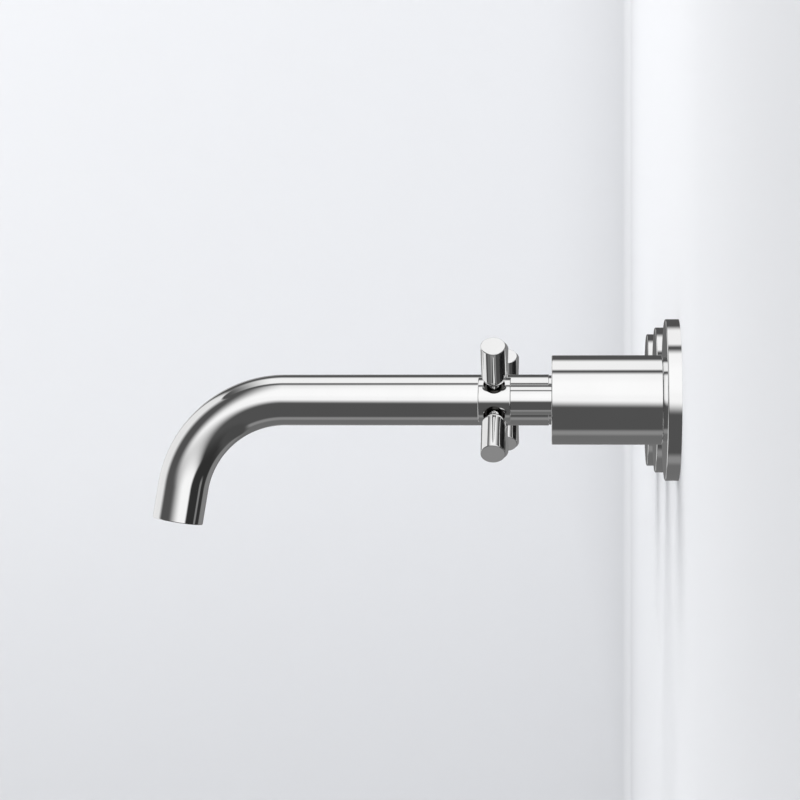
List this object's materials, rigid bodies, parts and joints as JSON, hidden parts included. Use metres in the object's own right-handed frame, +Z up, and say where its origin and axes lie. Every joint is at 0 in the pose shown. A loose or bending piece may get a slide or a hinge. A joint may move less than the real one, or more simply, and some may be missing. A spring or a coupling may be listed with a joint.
{
  "type": "wall-mounted basin mixer",
  "caption": "Wall-mounted basin mixer: a bent tube spout between a hot and a cold cross handle, each on a round wall plate, with its in-wall body.",
  "frame": {"origin": "on the finished wall, at the spout's axis: the centre of the spout wall plate's back face", "axes": "+Z up, +X along the wall from the hot to the cold valve, +Y into the wall; the spout reaches out along -Y"},
  "size_m": [0.264, 0.2934, 0.0881],
  "materials": {
    "chrome_plate": "bright chrome on polished brass",
    "cast_brass": "sand-cast brass, machined where it seals",
    "turned_brass": "turned brass",
    "black_rubber": "moulded rubber",
    "alumina_ceramic": "lapped alumina",
    "stainless_steel": "stainless steel",
    "white_acetal": "moulded acetal",
    "black_acetal": "moulded acetal",
    "grey_acetal": "moulded acetal",
    "hot_red": "coloured inlay",
    "cold_blue": "coloured inlay"
  },
  "bodies": {
    "fixed_mixer": {"aerator_housing": "grey_acetal", "aerator_insert": "white_acetal", "aerator_screen": "stainless_steel", "aerator_washer": "black_rubber", "cold_cartridge_body": "turned_brass", "cold_fixed_disc": "alumina_ceramic", "cold_nipple": "turned_brass", "cold_seat_seal": "black_rubber", "cold_sleeve": "chrome_plate", "cold_stem_guide": "black_acetal", "cold_wall_plate": "chrome_plate", "cold_wall_seal": "black_rubber", "concealed_body": "cast_brass", "hot_cartridge_body": "turned_brass", "hot_fixed_disc": "alumina_ceramic", "hot_nipple": "turned_brass", "hot_seat_seal": "black_rubber", "hot_sleeve": "chrome_plate", "hot_stem_guide": "black_acetal", "hot_wall_plate": "chrome_plate", "hot_wall_seal": "black_rubber", "spout_grub_screw": "stainless_steel", "spout_nipple": "turned_brass", "spout_o_rings": "black_rubber", "spout_sleeve": "chrome_plate", "spout_tube": "chrome_plate", "spout_wall_plate": "chrome_plate", "spout_wall_seal": "black_rubber"},
    "hot_handle": {"hot_handle_arm_1": "chrome_plate", "hot_handle_arm_2": "chrome_plate", "hot_handle_arm_3": "chrome_plate", "hot_handle_arm_4": "chrome_plate", "hot_handle_hub": "chrome_plate", "hot_handle_screw": "stainless_steel", "hot_index_cap": "chrome_plate", "hot_index_dot": "hot_red", "hot_moving_disc": "alumina_ceramic", "hot_snap_ring": "stainless_steel", "hot_spindle": "turned_brass", "hot_spindle_extension": "turned_brass", "hot_spindle_o_rings": "black_rubber"},
    "cold_handle": {"cold_handle_arm_1": "chrome_plate", "cold_handle_arm_2": "chrome_plate", "cold_handle_arm_3": "chrome_plate", "cold_handle_arm_4": "chrome_plate", "cold_handle_hub": "chrome_plate", "cold_handle_screw": "stainless_steel", "cold_index_cap": "chrome_plate", "cold_index_dot": "cold_blue", "cold_moving_disc": "alumina_ceramic", "cold_snap_ring": "stainless_steel", "cold_spindle": "turned_brass", "cold_spindle_extension": "turned_brass", "cold_spindle_o_rings": "black_rubber"}
  },
  "joints": [
    {"name": "hot_handle_turn", "type": "hinge", "parent": "fixed_mixer", "child": "hot_handle", "pos_m": [-0.1, 0, 0], "axis": [0, -1, 0], "range_deg": [0, 90]},
    {"name": "cold_handle_turn", "type": "hinge", "parent": "fixed_mixer", "child": "cold_handle", "pos_m": [0.1, 0, 0], "axis": [0, 1, 0], "range_deg": [0, 90]}
  ]
}
